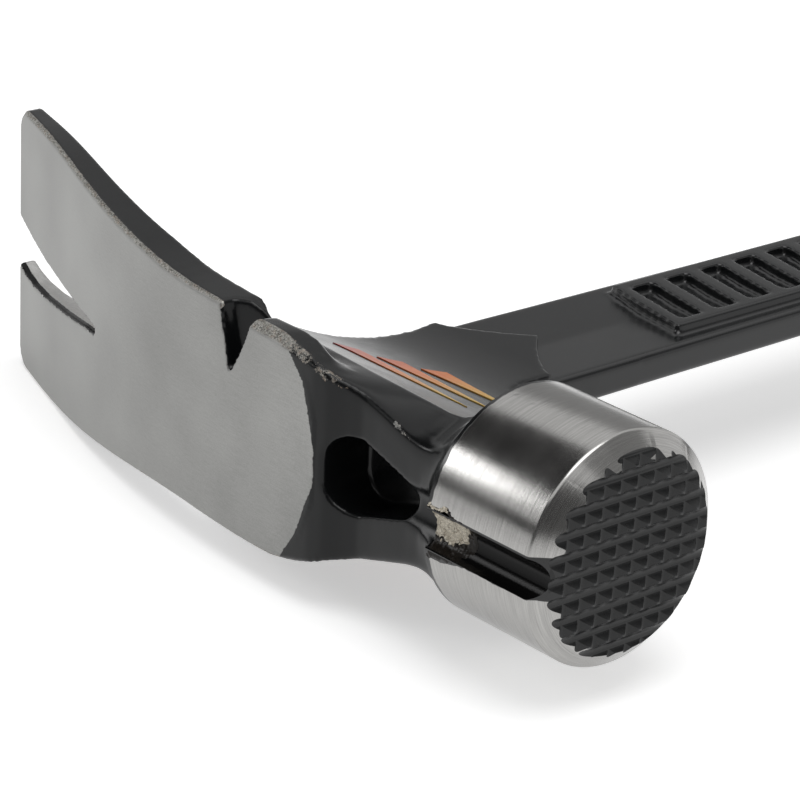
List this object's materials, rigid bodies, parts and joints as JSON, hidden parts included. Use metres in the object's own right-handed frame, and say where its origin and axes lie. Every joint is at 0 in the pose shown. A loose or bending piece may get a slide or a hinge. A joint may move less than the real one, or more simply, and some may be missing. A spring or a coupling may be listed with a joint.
{
  "type": "framing hammer",
  "caption": "Straight-clawed framing hammer with a milled face, a magnetic nail starter, a side nail puller and a moulded grip.",
  "frame": {"origin": "middle of the bounding box in X and Y, at its lowest Z", "axes": "+X to the striking face, +Y along the shank to the butt of the grip, +Z the side with the nail-puller notch; the hammer lies on its side"},
  "size_m": [0.1528, 0.406, 0.046],
  "materials": {
    "ground_steel": "satin ground steel",
    "black_enamel": "semi-gloss black enamel",
    "polished_steel": "bright ground steel with fine marks round its axis",
    "magnet_face": "worn coating over the magnet",
    "adhesive": "dark set resin",
    "grip_core_plastic": "moulded nylon",
    "grip_rubber": "matt ribbed rubber",
    "stripe_film": "printed film, red to ochre"
  },
  "bodies": {
    "root": {"claw": "ground_steel", "head_body": "black_enamel", "striking_poll": "polished_steel", "shank": "black_enamel", "tang": "black_enamel", "starter_magnet": "magnet_face", "magnet_adhesive": "adhesive", "grip_core": "grip_core_plastic", "grip_sleeve": "grip_rubber", "notch_side_stripes": "stripe_film", "plain_side_stripes": "stripe_film"}
  },
  "joints": []
}
